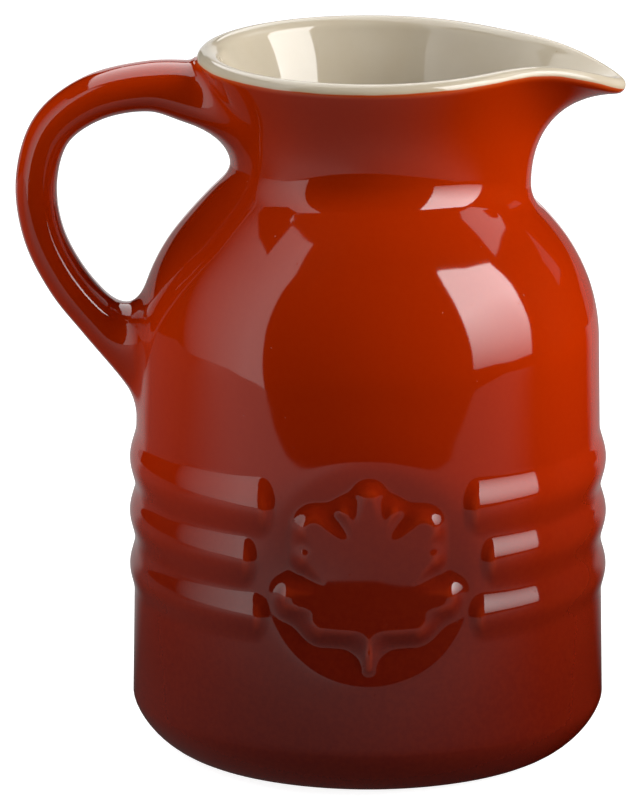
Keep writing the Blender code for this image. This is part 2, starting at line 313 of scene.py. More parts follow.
# The table as the jug sees it, an outline on the floor: it shines more on the left further
# out, fades on both sides towards the back and shines a little again behind the jug
TABLE_GLOW = 0.25
TABLE_GLOW_LEFT = 0.26
TABLE_GLOW_BACK = 0.3
TABLE_LEFT = (0.02, -0.1)
TABLE_LEFT_FAR = (0.1, 0.28)
TABLE_LEFT_FADE = (0.06, -0.17)
TABLE_LEFT_REST = 0.17
TABLE_RIGHT_FADE = (-0.01, -0.15)
TABLE_BACK = (-0.03, 0.06)
TABLE_DEPTH = -0.002
TABLE_OUTLINE = ((-2.0, 0.6), (-0.78, -0.27), (-0.25, -0.262), (0.19, -0.266), (0.6, -0.23),
                 (0.7, 0.5), (-0.4, 0.5))
BOUNCE_GLOW = 0.6
BOUNCE_REACH = 0.15

# Camera, matched to the photograph: lens and sensor in millimetres, the rest in metres
CAMERA_LENS = 405.0
SENSOR_HEIGHT = 36.0
CAMERA_TILT = 14.6
CAMERA_DISTANCE = 1.78
CAMERA_AIM = 0.069
CAMERA_SIDE = -0.0092
CAMERA_REACH = 10.68


def smooth_step(value):
    """Ease from 0 to 1 as value goes from 0 to 1."""
    clipped = np.clip(value, 0.0, 1.0)
    return clipped * clipped * (3.0 - 2.0 * clipped)


def lip_weight(theta, spread):
    """1 at the tip of the pouring lip, falling to 0 round the rim."""
    angle = np.degrees((theta + math.pi) % (2.0 * math.pi) - math.pi)
    half_power = LIP_SPREAD_POWER / 2.0
    rounded = (angle ** 2 + LIP_TIP_ROUNDING ** 2) ** half_power
    rounded = rounded - LIP_TIP_ROUNDING ** LIP_SPREAD_POWER
    return np.exp(-rounded / spread ** LIP_SPREAD_POWER)


def lobe_distance(x, y, lobe):
    """Distance to a leaf lobe, a bar with round ends of two sizes; negative inside."""
    root_x, root_y, tip_x, tip_y, root_width, tip_width = lobe
    along_x = tip_x - root_x
    along_y = tip_y - root_y
    length_squared = along_x ** 2 + along_y ** 2
    share = ((x - root_x) * along_x + (y - root_y) * along_y) / length_squared
    share = np.clip(share, 0.0, 1.0)
    away = np.hypot(x - root_x - share * along_x, y - root_y - share * along_y)
    return away - (root_width + share * (tip_width - root_width))


def leaf_height(x, y):
    """Height of the leaf above the dish that it stands in."""
    nearest = lobe_distance(np.abs(x), y, LEAF_LOBES[0])
    for lobe in LEAF_LOBES[1:]:
        other = lobe_distance(np.abs(x), y, lobe)
        share = np.clip(0.5 + 0.5 * (other - nearest) / LEAF_NOTCH_ROUNDING, 0.0, 1.0)
        blend = LEAF_NOTCH_ROUNDING * share * (1.0 - share)
        nearest = other + share * (nearest - other) - blend
    inside = smooth_step((LEAF_SPILL - nearest) / (LEAF_SPILL + LEAF_EDGE))
    gone, full = LEAF_FADE
    return LEAF_RELIEF * inside * smooth_step((gone - np.hypot(x, y)) / (gone - full))


def across_the_front(theta):
    """Distance round the wall from the middle of the medallion."""
    turn = (theta - MEDALLION_ANGLE + math.pi) % (2.0 * math.pi) - math.pi
    return turn * WALL_RADIUS_HIGH


def relief(across, z):
    """How far the ribs, the dish and the leaf stand out from the plain wall."""
    up = z - MEDALLION_HEIGHT
    from_centre = np.hypot(across, up)
    ribs = np.zeros(np.shape(from_centre))
    for middle, height, half_width, end in RIBS:
        offset = np.clip((z - middle) / half_width, -1.0, 1.0)
        past_end = np.abs(across) - end - RIB_END_ROUNDING * offset ** 2
        bump = np.cos(0.5 * math.pi * offset) ** 2
        ribs = ribs + height * bump * smooth_step(past_end / RIB_END_LENGTH)
    depth = 1.0 - (from_centre / MEDALLION_RADIUS) ** 2
    dish = DISH_DEPTH * 0.5 * (depth + np.sqrt(depth ** 2 + DISH_EDGE_SOFTNESS ** 2))
    dish = dish * smooth_step(2.0 - from_centre / MEDALLION_RADIUS)
    return ribs - dish + leaf_height(across, up)


def wall_radius(z):
    share = np.clip(z / SHOULDER_START, 0.0, 1.0)
    return WALL_RADIUS_LOW + (WALL_RADIUS_HIGH - WALL_RADIUS_LOW) * share


def foot_rows(count):
    """Rounded edge between the flat base and the wall."""
    angle = np.linspace(0.0, 0.5 * math.pi, count)
    power = 2.0 / FOOT_ROUND_POWER
    inner_radius = wall_radius(FOOT_ROUND_HEIGHT) - FOOT_ROUND_WIDTH
    radius = inner_radius + FOOT_ROUND_WIDTH * np.sin(angle) ** power
    height = FOOT_ROUND_HEIGHT * (1.0 - np.cos(angle) ** power)
    return radius, height


def shoulder_rows(count):
    angle = np.radians(np.linspace(0.0, SHOULDER_SLOPE, count))
    radius = WALL_RADIUS_HIGH - SHOULDER_ARC_RADIUS * (1.0 - np.cos(angle))
    height = SHOULDER_START + SHOULDER_ARC_RADIUS * np.sin(angle)
    return radius, height


def neck_rows(theta, cone_count, arc_count):
    """Gently curved cone above the shoulder and the hollow arc that turns it upright."""
    low_slope = math.radians(SHOULDER_SLOPE)
    slope = math.radians(NECK_SLOPE)
    shoulder_radius, shoulder_height = (rows[-1] for rows in shoulder_rows(2))
    neck = NECK_RADIUS + LIP_NECK_SWELL * lip_weight(theta, LIP_NECK_SPREAD)
    arc_start = neck + NECK_ARC_RADIUS * (1.0 - math.cos(slope))
    curve = (shoulder_radius - arc_start) / (math.cos(low_slope) - math.cos(slope))

    share = np.linspace(0.0, 1.0, cone_count)[:, None]
    angle = low_slope + share * (slope - low_slope)
    cone_radius = shoulder_radius - curve * (math.cos(low_slope) - np.cos(angle))
    cone_height = shoulder_height + curve * (np.sin(angle) - math.sin(low_slope))

    angle = slope * (1.0 - np.linspace(0.0, 1.0, arc_count))[1:, None]
    arc_radius = neck + NECK_ARC_RADIUS * (1.0 - np.cos(angle))
    arc_height = cone_height[-1] + NECK_ARC_RADIUS * (math.sin(slope) - np.sin(angle))
    radius = np.vstack([cone_radius[1:], arc_radius])
    height = np.vstack([cone_height[1:], arc_height])
    return radius, height


def edge_rounding(weight):
    """How far the rounded edge stands above the wall's end, round the rim and at the lip."""
    return RIM_ROUNDING + (0.5 * LIP_THICKNESS - RIM_ROUNDING) * weight


def throat_rows(theta, count):
    """Curve that opens from the neck to the rim and runs out into the pouring lip."""
    weight = lip_weight(theta, LIP_SPREAD)
    neck_radius, neck_height = (rows[-1] for rows in neck_rows(theta, 2, 2))
    edge_radius = RIM_RADIUS + (LIP_REACH - RIM_RADIUS) * weight
    edge_height = HEIGHT - edge_rounding(weight) - LIP_DROOP * weight ** LIP_DROOP_POWER
    rise = RIM_CURVE_RISE + (LIP_CURVE_RISE - RIM_CURVE_RISE) * weight
    reach_out = RIM_CURVE_REACH[0] + (LIP_CURVE_REACH[0] - RIM_CURVE_REACH[0]) * weight
    reach_up = RIM_CURVE_REACH[1] + (LIP_CURVE_REACH[1] - RIM_CURVE_REACH[1]) * weight

    t = np.linspace(0.0, 1.0, count + 1)[1:, None]
    start = (1.0 - t) ** 3
    leave = 3.0 * (1.0 - t) ** 2 * t
    arrive = 3.0 * (1.0 - t) * t ** 2
    end = t ** 3
    radius = (start + leave) * neck_radius + arrive * (edge_radius - reach_out) + end * edge_radius
    height = (start * neck_height + leave * (neck_height + rise)
              + arrive * (edge_height - reach_up) + end * edge_height)
    return radius, height


def upper_rows(theta):
    """Outside from the top of the straight wall to the rim, as radius and height."""
    shoulder_radius, shoulder_height = shoulder_rows(SHOULDER_ROWS)
    neck_radius, neck_height = neck_rows(theta, CONE_ROWS, NECK_ARC_ROWS)
    throat_radius, throat_height = throat_rows(theta, THROAT_ROWS)
    ones = np.ones((1, len(theta)))
    radius = np.vstack([shoulder_radius[:, None] * ones, neck_radius, throat_radius])
    height = np.vstack([shoulder_height[:, None] * ones, neck_height, throat_height])
    return radius, height


def to_points(theta, radius, height):
    return np.stack([radius * np.cos(theta), radius * np.sin(theta), height], axis=-1)


def level_ring(theta, radius, height):
    return to_points(theta, radius, np.full(len(theta), height))


def inward_normals(theta):
    """Unit normals of the upper outside, turned towards the inside of the jug."""
    before = to_points(theta - SLOPE_STEP, *upper_rows(theta - SLOPE_STEP))
    after = to_points(theta + SLOPE_STEP, *upper_rows(theta + SLOPE_STEP))
    upwards = np.gradient(to_points(theta, *upper_rows(theta)), axis=0)
    normal = np.cross(upwards, after - before)
    return normal / np.linalg.norm(normal, axis=-1, keepdims=True)


def upper_surfaces(theta):
    """Points of the outside and of the inside above the straight wall, row by row."""
    outside = to_points(theta, *upper_rows(theta))
    rows = len(outside)
    lip = lip_weight(theta, LIP_SPREAD)
    edge = RIM_THICKNESS + (LIP_THICKNESS - RIM_THICKNESS) * lip
    share = smooth_step(np.linspace(0.0, 1.0, rows) ** 2)[:, None]
    thickness = WALL_THICKNESS + share * (edge - WALL_THICKNESS)
    inside = outside + thickness[..., None] * inward_normals(theta)
    above = inside[-1, :, 2] - outside[-1, :, 2]
    inside[..., 2] -= share * (1.0 - lip) * above
    return outside, inside


def rim_rows(theta, outside, inside, count):
    """Half-round edge from the last row of the outside to that of the inside.

    It points up round the rim and outwards along the pouring lip.
    """
    middle = 0.5 * (outside[-1] + inside[-1])
    half = outside[-1] - middle
    along = outside[-1] - outside[-2]
    along = along / np.linalg.norm(along, axis=-1, keepdims=True)
    lip = lip_weight(theta, LIP_SPREAD)[:, None]
    lean = RIM_LEAN + (1.0 - RIM_LEAN) * lip
    bulge = lean * along + (1.0 - lean) * np.array([0.0, 0.0, 1.0])
    bulge = edge_rounding(lip) * bulge / np.linalg.norm(bulge, axis=-1, keepdims=True)
    rows = []
    for angle in np.linspace(0.0, math.pi, count + 2)[1:-1]:
        rows.append(middle + math.cos(angle) * half + math.sin(angle) * bulge)
    return rows


def base_rows(theta):
    """Bare underside: a shallow hollow and the ring that the jug stands on."""
    ring_outer = foot_rows(2)[0][0]
    ring_inner = ring_outer - STANDING_RING_WIDTH
    hollow = ring_inner - BASE_HOLLOW_EDGE
    rows = []
    for radius in np.linspace(0.0, hollow, BASE_FLAT_ROWS):
        rows.append(level_ring(theta, radius, BASE_HOLLOW_DEPTH))
    for share in np.linspace(0.0, 1.0, BASE_EDGE_ROWS)[1:]:
        drop = BASE_HOLLOW_DEPTH * (1.0 - smooth_step(share))
        rows.append(level_ring(theta, hollow + share * BASE_HOLLOW_EDGE, drop))
    return rows


def wall_heights():
    """Heights of the wall's rows: close together at the ribs and the medallion."""
    fine_low = MEDALLION_HEIGHT - MEDALLION_RADIUS - RIB_END_LENGTH
    fine_high = MEDALLION_HEIGHT + MEDALLION_RADIUS + RIB_END_LENGTH
    spans = (
        (FOOT_ROUND_HEIGHT, fine_low, WALL_STEP_PLAIN),
        (fine_low, fine_high, WALL_STEP_FINE),
        (fine_high, SHOULDER_START, WALL_STEP_PLAIN),
    )
    heights = []
    for low, high, step in spans:
        count = max(1, round((high - low) / step))
        heights.extend(np.linspace(low, high, count, endpoint=False))
    return np.array(heights[1:])


def inside_wall_rows(theta):
    """Inside of the straight wall, the rounded corner and the floor."""
    rows = []
    corner_top = FLOOR_THICKNESS + FLOOR_CORNER_RADIUS
    for height in np.linspace(SHOULDER_START, corner_top, INNER_WALL_ROWS)[1:]:
        rows.append(level_ring(theta, wall_radius(height) - WALL_THICKNESS, height))
    corner_centre = wall_radius(corner_top) - WALL_THICKNESS - FLOOR_CORNER_RADIUS
    for angle in np.linspace(0.0, 0.5 * math.pi, FLOOR_CORNER_ROWS)[1:]:
        radius = corner_centre + FLOOR_CORNER_RADIUS * math.cos(angle)
        height = corner_top - FLOOR_CORNER_RADIUS * math.sin(angle)
        rows.append(level_ring(theta, radius, height))
    for share in np.linspace(1.0, 0.0, INNER_FLOOR_ROWS)[1:]:
        rows.append(level_ring(theta, corner_centre * share, FLOOR_THICKNESS))
    return rows


def jug_rows(theta):
    """Every ring of the jug, from the middle of the base over the rim to the floor inside.

    Gives the points, and for each point how far below the cream glaze's edge it lies along
    the surface, how far above the bare base, and how much the surface bulges there.
    """
    outside, inside = upper_surfaces(theta)
    base = base_rows(theta)
    foot = [level_ring(theta, radius, height) for radius, height in zip(*foot_rows(FOOT_ROWS))]
    across = across_the_front(theta)
    heights = wall_heights()
    wall = []
    bulges = []
    for height in heights:
        wall.append(level_ring(theta, wall_radius(height) + relief(across, height), height))
        bulges.append(bulge(across, height))
    rim = rim_rows(theta, outside, inside, RIM_ROWS)
    rows = np.array([*base, *foot, *wall, *outside, *rim, *inside[::-1], *inside_wall_rows(theta)])

    steps = np.linalg.norm(np.diff(rows, axis=0), axis=-1)
    along = np.vstack([np.zeros(len(theta)), np.cumsum(steps, axis=0)])
    last_outside = len(base) + len(foot) + len(wall) + len(outside) - 1
    lip = lip_weight(theta, LIP_SPREAD)
    cream_edge = along[last_outside] + CREAM_EDGE + (CREAM_EDGE_AT_LIP - CREAM_EDGE) * lip
    below_cream = cream_edge - along
    above_base = along - along[len(base)]
    bulging = np.zeros(along.shape)
    first_wall = len(base) + len(foot)
    bulging[first_wall:first_wall + len(wall)] = bulges
    return rows, below_cream, above_base, bulging


def bulge(across, z):
    """How much the relief stands out from what is close round it: positive on edges."""
    around = 0.0
    for index in range(BULGE_SAMPLES):
        angle = 2.0 * math.pi * index / BULGE_SAMPLES
        beside = across + BULGE_REACH * math.cos(angle)
        around = around + relief(beside, z + BULGE_REACH * math.sin(angle))
    return (relief(across, z) - around / BULGE_SAMPLES) / BULGE_REACH


def travelled_along(line):
    """Distance from the start of a line of points to each of them."""
    lengths = np.linalg.norm(np.diff(line, axis=0), axis=1)
    return np.concatenate([[0.0], np.cumsum(lengths)])


def curve_through(stations, count):
    """Evenly spaced points on a smooth curve through the stations, each row one station."""
    knots = np.array(stations)
    padded = np.vstack([2.0 * knots[0] - knots[1], knots, 2.0 * knots[-1] - knots[-2]])
    points = []
    for index in range(1, len(padded) - 2):
        before, start, end, after = padded[index - 1:index + 3]
        for t in np.linspace(0.0, 1.0, HANDLE_PATH_STEPS, endpoint=False):
            points.append(0.5 * (2.0 * start + (end - before) * t
                                 + (2.0 * before - 5.0 * start + 4.0 * end - after) * t ** 2
                                 + (3.0 * start - before - 3.0 * end + after) * t ** 3))
    points.append(knots[-1])
    points = np.array(points)
    travelled = travelled_along(points[:, :2])
    wanted = np.linspace(0.0, travelled[-1], count)
    return np.stack([np.interp(wanted, travelled, column) for column in points.T], axis=1)


class Field:
    """Numbers on a grid over the plane of the handle, read anywhere between its points."""

    def __init__(self, low, high, measure):
        self.low = np.array(low)
        self.counts = np.round((np.array(high) - self.low) / FIELD_STEP).astype(int) + 1
        first = self.low[0] + FIELD_STEP * np.arange(self.counts[0])
        second = self.low[1] + FIELD_STEP * np.arange(self.counts[1])
        grid = np.stack(np.meshgrid(first, second, indexing="ij"), axis=-1)
        self.values = measure(grid.reshape(-1, 2)).reshape(*self.counts, -1)

    def __call__(self, places):
        cell = (places - self.low) / FIELD_STEP
        cell = np.clip(cell, 0.0, self.counts - 1.001)
        corner = cell.astype(int)
        part = cell - corner
        i, j = corner.T
        u = part[:, :1]
        v = part[:, 1:]
        low = self.values[i, j] * (1.0 - u) + self.values[i + 1, j] * u
        high = self.values[i, j + 1] * (1.0 - u) + self.values[i + 1, j + 1] * u
        return low * (1.0 - v) + high * v


def nearest_on(line, places):
    """Signed distance to a line of points, positive on its right, and the place along it."""
    start = line[:-1]
    run = line[1:] - start
    squared = (run ** 2).sum(axis=1)
    travelled = np.concatenate([[0.0], np.cumsum(np.sqrt(squared))])
    distance = np.empty(len(places))
    along = np.empty(len(places))
    for first in range(0, len(places), FIELD_BATCH):
        batch = places[first:first + FIELD_BATCH, None, :] - start
        share = np.clip((batch * run).sum(axis=-1) / squared, 0.0, 1.0)
        away = batch - share[..., None] * run
        gap = np.hypot(away[..., 0], away[..., 1])
        best = gap.argmin(axis=1)
        pick = np.arange(len(best))
        side = batch[pick, best, 0] * run[best, 1] - batch[pick, best, 1] * run[best, 0]
        distance[first:first + FIELD_BATCH] = gap[pick, best] * np.sign(side)
        past = share[pick, best] * np.sqrt(squared[best])
        along[first:first + FIELD_BATCH] = travelled[best] + past
    return distance, along


class HandleJoint:
    """The smooth skin over the back of the body and the handle together."""

    def __init__(self):
        back = np.array([math.pi])
        rows, below_cream, _, _ = jug_rows(back)
        outline = np.stack([-rows[:, 0, 0], rows[:, 0, 2]], axis=1)
        kept = outline[:, 0] > FIELD_LOW[0]
        last = len(outline) // 2 + np.argmin(kept[len(outline) // 2:])
        first = np.argmax(kept)
        self.outline = outline[first:last]
        self.below_cream = below_cream[first:last, 0]
        self.path = curve_through(HANDLE_STATIONS, HANDLE_PATH_POINTS)
        self.body = Field(FIELD_LOW, FIELD_HIGH, self.measure_body)
        self.handle = Field(FIELD_LOW, FIELD_HIGH, self.measure_handle)

    def measure_body(self, places):
        distance, along = nearest_on(self.outline, places)
        travelled = travelled_along(self.outline)
        return np.stack([distance, np.interp(along, travelled, self.below_cream)], axis=1)

    def measure_handle(self, places):
        """Offset from the handle's middle line in its plane, its half thickness and half width."""
        line = self.path[:, :2] * (-1.0, 1.0)
        offset, along = nearest_on(line, places)
        travelled = travelled_along(line)
        thickness = np.interp(along, travelled, self.path[:, 2])
        width = np.interp(along, travelled, self.path[:, 3])
        return np.stack([offset, 0.5 * thickness, 0.5 * width], axis=1)

    def body_distance(self, points):
        places = np.stack([np.hypot(points[:, 0], points[:, 1]), points[:, 2]], axis=1)
        return self.body(places)[:, 0]

    def handle_distance(self, points):
        offset, half_thickness, half_width = self.handle(points[:, [0, 2]] * (-1.0, 1.0)).T
        power = HANDLE_SECTION_POWER
        out = np.abs(offset / half_thickness) ** power + np.abs(points[:, 1] / half_width) ** power
        out = np.maximum(out, SMALLEST) ** (1.0 / power)
        return np.hypot(offset, points[:, 1]) * (1.0 - 1.0 / out)

    def cream_line(self, points):
        """How far below the cream glaze's edge points on the skin lie."""
        places = np.stack([np.hypot(points[:, 0], points[:, 1]), points[:, 2]], axis=1)
        distance, below = self.body(places).T
        return np.where(below > 0.0, np.hypot(distance, below), below)

    def distance(self, points):
        body = self.body_distance(points)
        handle = self.handle_distance(points)
        height = points[:, 2]
        near_rim = smooth_step((height - JOINT_BLEND_LOW) / (JOINT_BLEND_HIGH - JOINT_BLEND_LOW))
        start, full = JOINT_BLEND_FOOT
        near_foot = smooth_step((start - height) / (start - full))
        blend = (JOINT_BLEND + (JOINT_BLEND_AT_RIM - JOINT_BLEND) * near_rim
                 + (JOINT_BLEND_AT_FOOT - JOINT_BLEND) * near_foot)
        share = np.clip(0.5 + 0.5 * (body - handle) / blend, 0.0, 1.0)
        return body + share * (handle - body) - blend * share * (1.0 - share)

    def settle(self, points):
        """The points moved onto the skin."""
        here = self.distance(points)
        slope = np.empty(points.shape)
        for axis in range(3):
            beside = points.copy()
            beside[:, axis] += FIELD_STEP
            slope[:, axis] = (self.distance(beside) - here) / FIELD_STEP
        steepness = np.maximum((slope ** 2).sum(axis=1), MIN_STEEPNESS)
        return points - slope * (here / steepness)[:, None]


def get_points(item):
    points = np.empty(len(item.data.vertices) * 3, dtype=np.float32)
    item.data.vertices.foreach_get("co", points)
    return points.reshape(-1, 3).astype(float) / MM


def set_points(item, points):
    item.data.vertices.foreach_set("co", (points * MM).astype(np.float32).ravel())
    item.data.update()


def get_numbers(item, name, kind):
    numbers = np.empty(len(item.data.vertices), dtype=kind)
    item.data.attributes[name].data.foreach_get("value", numbers)
    return numbers


def set_numbers(item, name, kind, numbers):
    attribute = item.data.attributes.get(name)
    if attribute is None:
        attribute = item.data.attributes.new(name, kind, "POINT")
    attribute.data.foreach_set("value", numbers)


def start_editing(item):
    bpy.ops.object.select_all(action="DESELECT")
    bpy.context.view_layer.objects.active = item
    item.select_set(True)
    bpy.ops.object.mode_set(mode="EDIT")


def stop_editing():
    bpy.ops.object.mode_set(mode="OBJECT")


def column_angles():
    """Where round the jug each column of the mesh stands."""
    angles = []
    start = ARC_START
    for degrees, columns in ARCS:
        angles.extend(np.linspace(start, start + degrees, columns, endpoint=False))
        start += degrees
    return np.radians(angles)


def turn_body():
    """The body, turned from its outline in three arcs and then drawn out to its true form."""
    columns = column_angles()
    outline = jug_rows(columns[:1])[0][:, 0]
    bpy.ops.object.select_all(action="DESELECT")
    bpy.ops.mesh.primitive_plane_add(size=MM, location=outline[0] * MM)
    item = bpy.context.object
    item.name = "glazed_jug"
    bpy.ops.object.transform_apply(location=True)
    start_editing(item)
    bpy.ops.mesh.select_all(action="SELECT")
    bpy.ops.mesh.merge(type="CENTER")
    for step in np.diff(outline, axis=0) * MM:
        bpy.ops.mesh.extrude_vertices_move(TRANSFORM_OT_translate={"value": tuple(step)})
    stop_editing()
    away = get_points(item)[:, None] - outline
    set_numbers(item, "row", "INT", np.linalg.norm(away, axis=-1).argmin(axis=1))

    start_editing(item)
    bpy.ops.mesh.select_all(action="SELECT")
    for degrees, steps in ARCS:
        bpy.ops.mesh.spin(steps=steps, angle=math.radians(degrees), use_auto_merge=False,
                          center=(0.0, 0.0, 0.0), axis=(0.0, 0.0, -1.0))
    bpy.ops.mesh.select_all(action="SELECT")
    bpy.ops.mesh.remove_doubles(threshold=MERGE_DISTANCE * MM)
    bpy.ops.mesh.normals_make_consistent(inside=False)
    stop_editing()

    rows, below_cream, above_base, bulging = jug_rows(columns)
    points = get_points(item)
    turn = np.arctan2(points[:, 1], points[:, 0]) - columns[0]
    between = 0.5 * (columns[1:] + columns[:-1]) - columns[0]
    column = np.searchsorted(between, turn % (2.0 * math.pi))
    seam = 2.0 * math.pi - 0.5 * (2.0 * math.pi - (columns[-1] - columns[0]))
    column[turn % (2.0 * math.pi) > seam] = 0
    row = get_numbers(item, "row", np.int32)
    set_points(item, rows[row, column])
    set_numbers(item, "below_cream", "FLOAT", below_cream[row, column])
    set_numbers(item, "above_base", "FLOAT", above_base[row, column])
    set_numbers(item, "bulge", "FLOAT", bulging[row, column])
    return item


def handle_ring(station, direction):
    """Points of the handle's section at one station."""
    x, z, thickness, width = station
    angle = np.linspace(0.0, 2.0 * math.pi, HANDLE_SIDES, endpoint=False)
    power = 2.0 / HANDLE_SECTION_POWER
    across = np.sign(np.cos(angle)) * np.abs(np.cos(angle)) ** power
    outwards = 0.5 * thickness * np.sign(np.sin(angle)) * np.abs(np.sin(angle)) ** power
    return np.stack([x + outwards * direction[1], 0.5 * width * across,
                     z - outwards * direction[0]], axis=1)


def landing(joint, ring, direction):
    """Where the ring would meet the body if each of its points ran on along direction."""
    run = np.array([direction[0], 0.0, direction[1]])
    travelled = np.zeros(len(ring))
    for _ in range(LANDING_STEPS):
        gap = joint.body_distance(ring + travelled[:, None] * run) - LANDING_GAP
        travelled += LANDING_SHARE * gap
    return ring + travelled[:, None] * run


def sweep_handle(joint):
    """Oval bar along the handle's line, flared at both ends to lie close over the body."""
    path = curve_through(HANDLE_STATIONS, HANDLE_RINGS)
    direction = np.gradient(path[:, :2], axis=0)
    direction = direction / np.linalg.norm(direction, axis=1, keepdims=True)
    rings = [handle_ring(*pair) for pair in zip(path, direction)]
    clear = [joint.body_distance(ring).min() > JOINT_CLEARANCE for ring in rings]
    first = clear.index(True)
    last = len(clear) - 1 - clear[::-1].index(True)
    upper = landing(joint, rings[first], -direction[first])
    lower = landing(joint, rings[last], direction[last])
    shares = np.linspace(1.0, 0.0, JOINT_RINGS, endpoint=False)
    rings = ([rings[first] + share * (upper - rings[first]) for share in shares]
             + rings[first:last + 1]
             + [rings[last] + share * (lower - rings[last]) for share in shares[::-1]])

    bpy.ops.object.select_all(action="DESELECT")
    bpy.ops.mesh.primitive_circle_add(vertices=HANDLE_SIDES, radius=MM)
    item = bpy.context.object
    set_points(item, rings[0])
    set_numbers(item, "side", "INT", np.arange(HANDLE_SIDES))
    start_editing(item)
    bpy.ops.mesh.select_all(action="SELECT")
    for ring in rings[1:]:
        bpy.ops.mesh.extrude_edges_move(TRANSFORM_OT_translate={"value": (0.0, 0.0, MM)})
        shape = bmesh.from_edit_mesh(item.data)
        side = shape.verts.layers.int["side"]
        for vert in shape.verts:
            if vert.select:
                vert.co = ring[vert[side]] * MM
    stop_editing()
    item.data.attributes.remove(item.data.attributes["side"])
    set_numbers(item, "row", "INT", np.full(len(item.data.vertices), -1))
    return item


def open_body(item, joint):
    """Take out the body's faces where the handle's ends stand on it."""
    points = get_points(item)
    row = get_numbers(item, "row", np.int32)
    below_cream = get_numbers(item, "below_cream", np.float32)
    faces = np.empty(len(item.data.polygons) * 3, dtype=np.float32)
    item.data.polygons.foreach_get("center", faces)
    centres = faces.reshape(-1, 3).astype(float) / MM
    outside = (row >= 0) & (below_cream > JOINT_RIM_CLEARANCE) & (points[:, 0] < 0.0)
    under_handle = joint.handle_distance(centres) < JOINT_OPENING
    first = np.array([face.vertices[0] for face in item.data.polygons])
    start_editing(item)
    bpy.ops.mesh.select_mode(type="FACE")
    bpy.ops.mesh.select_all(action="DESELECT")
    stop_editing()
    item.data.polygons.foreach_set("select", under_handle & outside[first])
    start_editing(item)
    bpy.ops.mesh.delete(type="FACE")
    stop_editing()


def join_handle(item, handle, joint):
    """Handle and body made one skin, with the mesh evened out over soft fillets."""
    open_body(item, joint)
    bpy.ops.object.select_all(action="DESELECT")
    item.select_set(True)
    handle.select_set(True)
    bpy.context.view_layer.objects.active = item
    bpy.ops.object.join()
    for low, high in ((JOINT_SPLIT, 2.0 * HEIGHT), (0.0, JOINT_SPLIT)):
        start_editing(item)
        bpy.ops.mesh.select_mode(type="EDGE")
        bpy.ops.mesh.select_all(action="DESELECT")
        shape = bmesh.from_edit_mesh(item.data)
        for edge in shape.edges:
            if edge.is_boundary and low < edge.verts[0].co.z / MM < high:
                edge.select_set(True)
        bmesh.update_edit_mesh(item.data)
        bpy.ops.mesh.bridge_edge_loops()
        stop_editing()
    start_editing(item)
    bpy.ops.mesh.select_all(action="SELECT")
    bpy.ops.mesh.normals_make_consistent(inside=False)
    stop_editing()

    points = get_points(item)
    row = get_numbers(item, "row", np.int32)
    below_cream = get_numbers(item, "below_cream", np.float32)
    on_body = row >= 0
    away = np.where(on_body, joint.handle_distance(points), joint.body_distance(points))
    reach = smooth_step((JOINT_REACH - away) / JOINT_FADE)
    reach[on_body & ((points[:, 0] > 0.0) | (below_cream < JOINT_RIM_CLEARANCE))] = 0.0
    inside = on_body & (joint.body_distance(points) < -0.5 * WALL_THICKNESS)
    reach[inside] = 0.0
    edges = np.empty(len(item.data.edges) * 2, dtype=np.int32)
    item.data.edges.foreach_get("vertices", edges)
    edges = edges.reshape(-1, 2)
    edges = edges[reach[edges].max(axis=1) > 0.0]
    degree = np.zeros(len(points))
    np.add.at(degree, edges[:, 0], 1.0)
    np.add.at(degree, edges[:, 1], 1.0)
    moving = np.flatnonzero(reach > 0.0)
    for _ in range(JOINT_EASINGS):
        total = np.zeros(points.shape)
        np.add.at(total, edges[:, 0], points[edges[:, 1]])
        np.add.at(total, edges[:, 1], points[edges[:, 0]])
        mean = total[moving] / degree[moving, None]
        moved = points[moving] + 0.5 * reach[moving, None] * (mean - points[moving])
        points[moving] = joint.settle(moved)
    points[moving] = joint.settle(points[moving])
    set_points(item, points)

    line = joint.cream_line(points)
    near = on_body & (reach == 0.0)
    set_numbers(item, "below_cream", "FLOAT", np.where(near, below_cream, line))
    above_base = get_numbers(item, "above_base", np.float32)
    set_numbers(item, "above_base", "FLOAT", np.where(on_body, above_base, HEIGHT))


def make_jug():
    joint = HandleJoint()
    item = turn_body()
    handle = sweep_handle(joint)
    join_handle(item, handle, joint)
    item.data.shade_smooth()
    return item


class Reading:
    """A number that a material works out; plain sums on it add the nodes that do them."""

    def __init__(self, finish, socket):
        self.finish = finish
        self.socket = socket

    def __add__(self, other):
        return self.finish.math("ADD", self, other)

    def __radd__(self, other):
        return self.finish.math("ADD", other, self)

    def __sub__(self, other):
        return self.finish.math("SUBTRACT", self, other)

    def __rsub__(self, other):
        return self.finish.math("SUBTRACT", other, self)

    def __mul__(self, other):
        return self.finish.math("MULTIPLY", self, other)

    def __rmul__(self, other):
        return self.finish.math("MULTIPLY", other, self)

    def __truediv__(self, other):
        return self.finish.math("DIVIDE", self, other)

    def __pow__(self, other):
        return self.finish.math("POWER", self, other)


